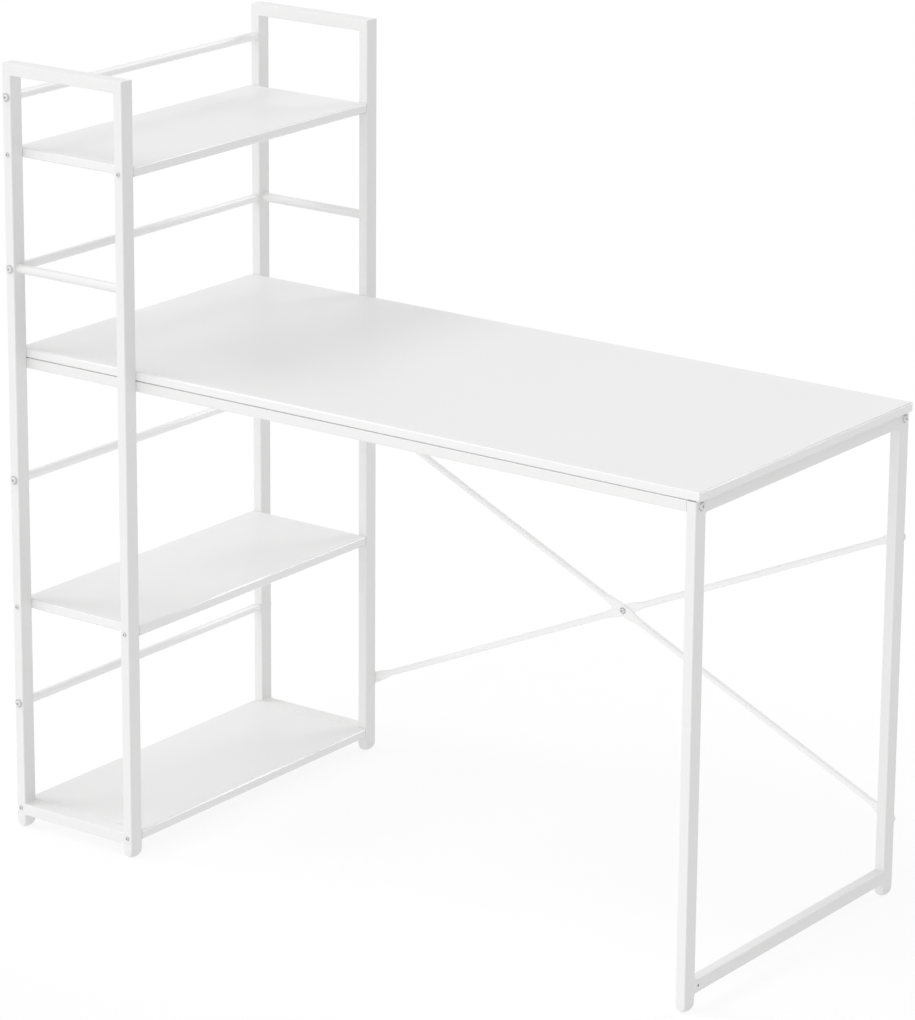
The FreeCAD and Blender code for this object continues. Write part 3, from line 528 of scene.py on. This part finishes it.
def set_bolts(name, node, form, front_facing, back_facing):
    """Bolts in the places of a node's own, each turned a little differently, as a hand key leaves them."""
    head_height = form["head_height"]
    copies = []
    for index, (low, high) in enumerate(loose_boxes(node)):
        middle = (low + high) / 2
        size = high - low
        out = Vector(front_facing if middle.y < 0.0 else back_facing)
        along = max(range(3), key=lambda axis: abs(out[axis]))
        across = min(size[axis] for axis in range(3) if axis != along)
        if not copies:
            bolt = model_bolt(across, size[along] - head_height, **form)
        seat = middle.copy()
        seat[along] = (high if out[along] > 0.0 else low)[along] - out[along] * head_height
        twist = Matrix.Rotation(math.radians(FIRST_TURN + NEXT_TURN * index), 3, "Z")
        turn = Vector((0.0, 0.0, 1.0)).rotation_difference(out).to_matrix() @ twist
        copies.append(set_copy(bolt, seat, turn))
    whole = join_copies(name, copies)
    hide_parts(node)
    bpy.data.objects.remove(bolt)


bolt_form = dict(head_height=0.0036, shank_width=0.006, socket_width=0.004, socket_painted_shade=groove_and_socket_painted_shade)
screw_form = dict(head_height=0.0024, shank_width=0.004, socket_width=0.0025, socket_painted_shade=bare_steel_and_painted_shade)
set_bolts("left_rail_button_bolts", "left_rail_bolts", bolt_form, TO_FRONT, TO_BACK)
set_bolts("shelf_button_screws", "shelf_screws", screw_form, TO_FRONT, TO_BACK)
set_bolts("leg_button_bolts", "leg_bolts", bolt_form, TO_RIGHT, TO_RIGHT)
set_bolts("brace_centre_button_bolt", "brace_centre_bolt", bolt_form, TO_FRONT, TO_FRONT)
set_bolts("brace_end_button_bolts", "brace_end_bolts", bolt_form, TO_BACK, TO_BACK)


# Plugs, rivet nuts, the brace's nut, the desk rails' bolts and the board's screws are zinc-plated steel.
# Most are hidden in the tubes or under the desk top.
# The plating is thin and slightly cloudy, with the dull gloss of drawn wire.
zinc = painted_material(
    "zinc_plate", colour=(0.56, 0.57, 0.59), bump_strength=0.1, bump_height=0.0001,
    Peel_Scale=900.0, Cloud_Scale=120.0, Cloud_Depth=0.2, Gloss_Middle=0.34, Gloss_Spread=0.15,
)
set_inputs(zinc.node_tree.nodes["Principled BSDF"], Metallic=1.0)
finish_nodes(
    zinc,
    "left_rail_plugs", "desk_rail_plugs", "desk_rail_rivet_nuts", "desk_rail_bolts", "desk_top_screws",
    "brace_rivet_nuts", "brace_centre_nut",
)


# Push-in plastic feet close the ends of the posts and legs, moulded in white with a full domed sole.
# A plain stem holds each in its tube, and the foot rests on the flat middle of the dome.
FOOT_PLACES = (
    "rack_front_left", "rack_front_right", "rack_back_left", "rack_back_right",
    "leg_front", "leg_back",
)
FOOT_HEIGHT = 0.013
FOOT_CORNER = 0.0016
FOOT_EASING = 0.0011
FOOT_EASING_ANGLE = 24.0
FOOT_SMOOTHING = 40.0
SOLE_FLAT = 0.0003
DOME_SPREAD = 1.42
STEM_STEP = 0.0016
SLIVER = 0.00002


def model_foot(width, depth, stem_top):
    """A foot centred on the z axis that stands on z = 0, for a tube of the given outline."""
    bpy.ops.mesh.primitive_cube_add(size=1.0, location=(0.0, 0.0, FOOT_HEIGHT / 2))
    foot = bpy.context.active_object
    foot.scale = (width, depth, FOOT_HEIGHT)
    settle(foot)
    pick_edges(foot, lambda a, b: abs(a.z - b.z) > FOOT_HEIGHT / 2)
    bpy.ops.mesh.bevel(offset=FOOT_CORNER, segments=4, affect="EDGES")
    bpy.ops.object.mode_set(mode="OBJECT")
    dome_height = FOOT_HEIGHT + SOLE_FLAT
    bpy.ops.mesh.primitive_uv_sphere_add(segments=64, ring_count=48, radius=0.5)
    dome = bpy.context.active_object
    dome.scale = (DOME_SPREAD * width, DOME_SPREAD * depth, 2 * dome_height)
    dome.location = (0.0, 0.0, FOOT_HEIGHT)
    settle(dome)
    pick_faces(dome, lambda face: face.center.z > FOOT_HEIGHT)
    bpy.ops.mesh.delete(type="FACE")
    pick_edges(dome, lambda a, b: min(a.z, b.z) > FOOT_HEIGHT - SOLE_FLAT)
    bpy.ops.mesh.extrude_region_move(TRANSFORM_OT_translate={"value": (0.0, 0.0, FOOT_HEIGHT)})
    bpy.ops.mesh.edge_face_add()
    bpy.ops.object.mode_set(mode="OBJECT")
    choose_alone(foot)
    moulded = foot.modifiers.new("domed_sole", "BOOLEAN")
    moulded.operation = "INTERSECT"
    moulded.object = dome
    bpy.ops.object.modifier_apply(modifier=moulded.name)
    bpy.data.objects.remove(dome)
    pick_faces(foot, lambda face: face.normal.z > FACING)
    bpy.ops.mesh.inset(thickness=STEM_STEP)
    bpy.ops.mesh.extrude_region_move(TRANSFORM_OT_translate={"value": (0.0, 0.0, stem_top - FOOT_HEIGHT)})
    bpy.ops.object.mode_set(mode="OBJECT")
    eased = foot.modifiers.new("eased_edges", "BEVEL")
    eased.width = FOOT_EASING
    eased.segments = 3
    eased.limit_method = "ANGLE"
    eased.angle_limit = math.radians(FOOT_EASING_ANGLE)
    bpy.ops.object.modifier_apply(modifier=eased.name)
    merge_points(foot, SLIVER)
    bpy.ops.object.mode_set(mode="OBJECT")
    bpy.ops.object.shade_smooth_by_angle(angle=math.radians(FOOT_SMOOTHING))
    foot.data.materials.append(moulded_plastic)
    return foot


foot_low, foot_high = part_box("leg_front_foot")
foot_pattern = model_foot(foot_high.x - foot_low.x, foot_high.y - foot_low.y, foot_high.z)
for place_name in FOOT_PLACES:
    foot_low, foot_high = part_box(f"{place_name}_foot")
    foot_spot = (foot_low + foot_high) / 2
    foot_spot.z = 0.0
    foot = set_copy(foot_pattern, foot_spot, Matrix.Identity(3))
    foot.name = f"{place_name}_domed_foot"
    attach(foot, "root")
    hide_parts(f"{place_name}_foot")
bpy.data.objects.remove(foot_pattern)


# A plain pale floor takes the desk's soft shadow, and glows a little like white paper in a bright room.
# Seen from below, it lets the view through to the underside.
FLOOR_SIZE = 160.0
FLOOR_DROP = 0.0002
FLOOR_GREY = 0.24
FLOOR_SHOWN_GLOW = 0.775
FLOOR_LIGHT_GLOW = 0.64
bpy.ops.mesh.primitive_plane_add(size=FLOOR_SIZE, location=(0.0, 0.0, -FLOOR_DROP))
floor = bpy.context.active_object
floor.name = "floor"


def shown_or_lighting(tree, shown_level):
    """A level for what the camera and reflections show. Its To Min is the level that lights the desk."""
    path = add_node(tree, "ShaderNodeLightPath")
    direct = add_node(tree, "ShaderNodeMath", operation="MAXIMUM")
    shown = add_node(tree, "ShaderNodeMath", operation="MAXIMUM")
    level = add_node(tree, "ShaderNodeMapRange")
    set_inputs(level, To_Max=shown_level)
    tree.links.new(path.outputs["Is Camera Ray"], direct.inputs[0])
    tree.links.new(path.outputs["Is Glossy Ray"], direct.inputs[1])
    tree.links.new(direct.outputs["Value"], shown.inputs[0])
    tree.links.new(path.outputs["Is Transmission Ray"], shown.inputs[1])
    tree.links.new(shown.outputs["Value"], level.inputs["Value"])
    return level


paper = bpy.data.materials.new("floor_paper")
paper.use_nodes = True
tree = paper.node_tree
tree.nodes.clear()
output = add_node(tree, "ShaderNodeOutputMaterial")
pale = add_node(tree, "ShaderNodeBsdfDiffuse")
pale.inputs["Color"].default_value = (FLOOR_GREY, FLOOR_GREY, FLOOR_GREY, 1.0)
glow = add_node(tree, "ShaderNodeEmission")
glow_level = shown_or_lighting(tree, FLOOR_SHOWN_GLOW)
set_inputs(glow_level, To_Min=FLOOR_LIGHT_GLOW)
lifted = add_node(tree, "ShaderNodeAddShader")
below = add_node(tree, "ShaderNodeMixShader")
facing = add_node(tree, "ShaderNodeNewGeometry")
clear = add_node(tree, "ShaderNodeBsdfTransparent")
tree.links.new(glow_level.outputs["Result"], glow.inputs["Strength"])
tree.links.new(pale.outputs["BSDF"], lifted.inputs[0])
tree.links.new(glow.outputs["Emission"], lifted.inputs[1])
tree.links.new(facing.outputs["Backfacing"], below.inputs["Fac"])
tree.links.new(lifted.outputs["Shader"], below.inputs[1])
tree.links.new(clear.outputs["BSDF"], below.inputs[2])
tree.links.new(below.outputs["Shader"], output.inputs["Surface"])
floor.data.materials.append(paper)


# The light is a bright white room, dimmer to the right and at the back, with three broad far lights in it.
# The top and rim lights make the boards' chamfers shine. Behind the desk the room shows as plain white.
HORIZON_LEVEL = 0.87
ZENITH_LEVEL = 0.805
RIGHT_DIMMING = 0.49
BACK_DIMMING = 0.35
SKY_SHOWN_LEVEL = 1.0
world = bpy.data.worlds.new("studio")
bpy.context.scene.world = world
world.use_nodes = True
tree = world.node_tree
background = tree.nodes["Background"]
background.inputs["Color"].default_value = (1.0, 1.0, 1.0, 1.0)
around = add_node(tree, "ShaderNodeTexCoord")
split = add_node(tree, "ShaderNodeSeparateXYZ")
height = add_node(tree, "ShaderNodeMapRange")
set_inputs(height, To_Min=HORIZON_LEVEL, To_Max=ZENITH_LEVEL)
right_half = add_node(tree, "ShaderNodeMath", operation="MAXIMUM")
right_half.inputs[1].default_value = 0.0
right = add_node(tree, "ShaderNodeMath", operation="MULTIPLY_ADD")
right.inputs[1].default_value = -RIGHT_DIMMING
right.inputs[2].default_value = 1.0
front = add_node(tree, "ShaderNodeMath", operation="MULTIPLY_ADD")
front.inputs[1].default_value = -BACK_DIMMING
soft = add_node(tree, "ShaderNodeMath", operation="MULTIPLY")
level = shown_or_lighting(tree, SKY_SHOWN_LEVEL)
tree.links.new(around.outputs["Generated"], split.inputs["Vector"])
tree.links.new(split.outputs["Z"], height.inputs["Value"])
tree.links.new(split.outputs["X"], right_half.inputs[0])
tree.links.new(right_half.outputs["Value"], right.inputs[0])
tree.links.new(split.outputs["Y"], front.inputs[0])
tree.links.new(right.outputs["Value"], front.inputs[2])
tree.links.new(height.outputs["Result"], soft.inputs[0])
tree.links.new(front.outputs["Value"], soft.inputs[1])
tree.links.new(soft.outputs["Value"], level.inputs["To Min"])
tree.links.new(level.outputs["Result"], background.inputs["Strength"])


def add_far_light(name, direction, spread, level):
    """A broad far light from the given direction. Level is what a white card facing it would show."""
    lamp = bpy.data.lights.new(name, "SUN")
    lamp.angle = math.radians(spread)
    lamp.energy = level * math.pi
    source = bpy.data.objects.new(name, lamp)
    bpy.context.scene.collection.objects.link(source)
    source.rotation_euler = Vector(direction).to_track_quat("Z", "Y").to_euler()
    return source


front_light = add_far_light("front_light", direction=(-0.1, -0.97, 0.22), spread=40.0, level=0.09)
front_light.visible_glossy = False
add_far_light("top_light", direction=(-0.573, -0.276, 0.772), spread=24.0, level=0.14)
add_far_light("rim_light", direction=(0.28, 0.77, 0.57), spread=24.0, level=0.15)


# The camera stands at the photograph's angle, far off behind a long lens.
# A little roll and shift frame the desk as the photograph does.
CAMERA_PLACE = (3.7105, -5.0981, 2.5237)
CAMERA_YAW = math.radians(36.598)
CAMERA_PITCH = math.radians(16.06)
CAMERA_ROLL = math.radians(0.287)
camera_data = bpy.data.cameras.new("photo_camera")
camera_data.sensor_width = 36.0
camera_data.lens = 157.02
camera_data.shift_x = 0.04
camera_data.shift_y = -0.1
camera_data.clip_end = 200.0
camera = bpy.data.objects.new("photo_camera", camera_data)
bpy.context.scene.collection.objects.link(camera)
camera.matrix_world = (
    Matrix.Translation(CAMERA_PLACE)
    @ Matrix.Rotation(CAMERA_YAW, 4, "Z")
    @ Matrix.Rotation(math.pi / 2 - CAMERA_PITCH, 4, "X")
    @ Matrix.Rotation(CAMERA_ROLL, 4, "Z")
)
bpy.context.scene.camera = camera
bpy.context.scene.view_settings.view_transform = "Standard"
